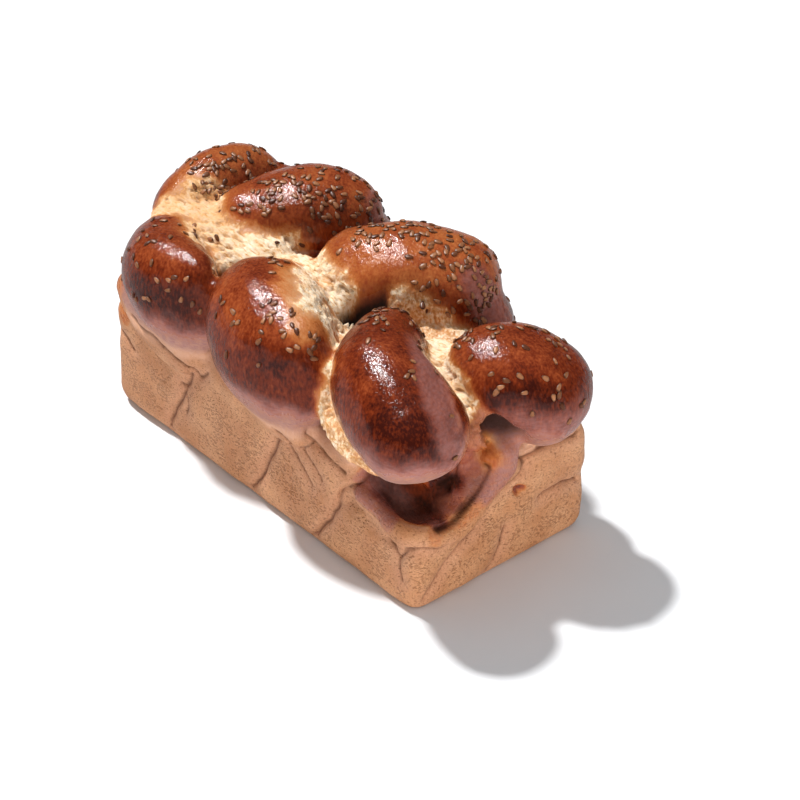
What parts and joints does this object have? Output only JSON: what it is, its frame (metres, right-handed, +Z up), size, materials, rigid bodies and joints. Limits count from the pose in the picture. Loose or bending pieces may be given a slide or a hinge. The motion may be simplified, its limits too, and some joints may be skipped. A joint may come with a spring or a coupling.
{
  "type": "braided loaf",
  "caption": "Plaited milk loaf baked in a tin: flat-walled base with a braided, domed, egg-washed top sprinkled with seeds.",
  "frame": {"origin": "middle of the flat base, under the centre of the loaf's box", "axes": "+Z up; +X along the loaf towards the end with the tucked strand and its folded pocket; -Y is the side with three lobes"},
  "size_m": [0.2354, 0.126, 0.1186],
  "materials": {
    "baked_crust": "baked crust: glossy red-brown egg wash on the lobes, matt tan and finely pored on the tin walls, cream where the dough tore"
  },
  "bodies": {
    "root": {"loaf": "baked_crust"}
  },
  "joints": []
}
